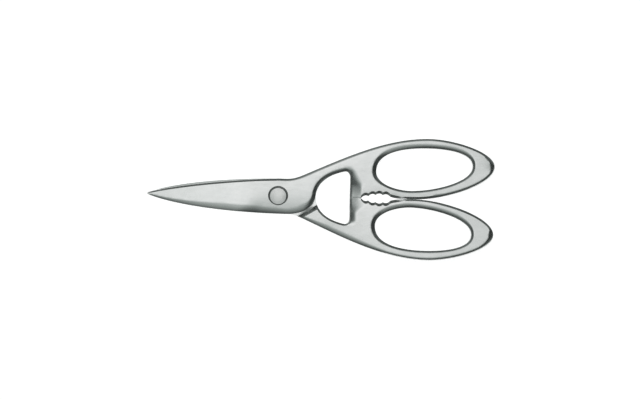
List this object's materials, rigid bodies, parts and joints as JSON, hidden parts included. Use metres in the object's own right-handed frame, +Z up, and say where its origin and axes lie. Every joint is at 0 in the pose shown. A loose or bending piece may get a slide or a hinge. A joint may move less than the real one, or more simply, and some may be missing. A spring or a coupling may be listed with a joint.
{
  "type": "kitchen scissors",
  "caption": "All-steel kitchen scissors: two forged halves crossing at a screwed pivot, with finger loops, a cap-lifting window and a toothed jaw between the arms.",
  "frame": {"origin": "under the middle of the closed scissors, on the surface that they lie on", "axes": "+X along the scissors from the blade tips to the finger loops, +Y towards the front half's finger loop, +Z up out of the front face"},
  "size_m": [0.2028, 0.071, 0.008],
  "materials": {
    "satin_steel": "satin, softly brushed stainless steel",
    "pivot_steel": "turned stainless steel",
    "spring_steel": "rolled spring steel",
    "bronze": "plain bronze"
  },
  "bodies": {
    "front": {"front_half": "satin_steel", "pivot_stud": "pivot_steel", "pivot_screw": "pivot_steel", "bearing_washer": "bronze"},
    "rear": {"rear_half": "satin_steel", "spring_washer": "spring_steel"}
  },
  "joints": [
    {"name": "pivot", "type": "hinge", "parent": "front", "child": "rear", "pos_m": [-0.02463, 0, 0.004], "axis": [0, 0, -1], "range_deg": [0, 98]}
  ]
}
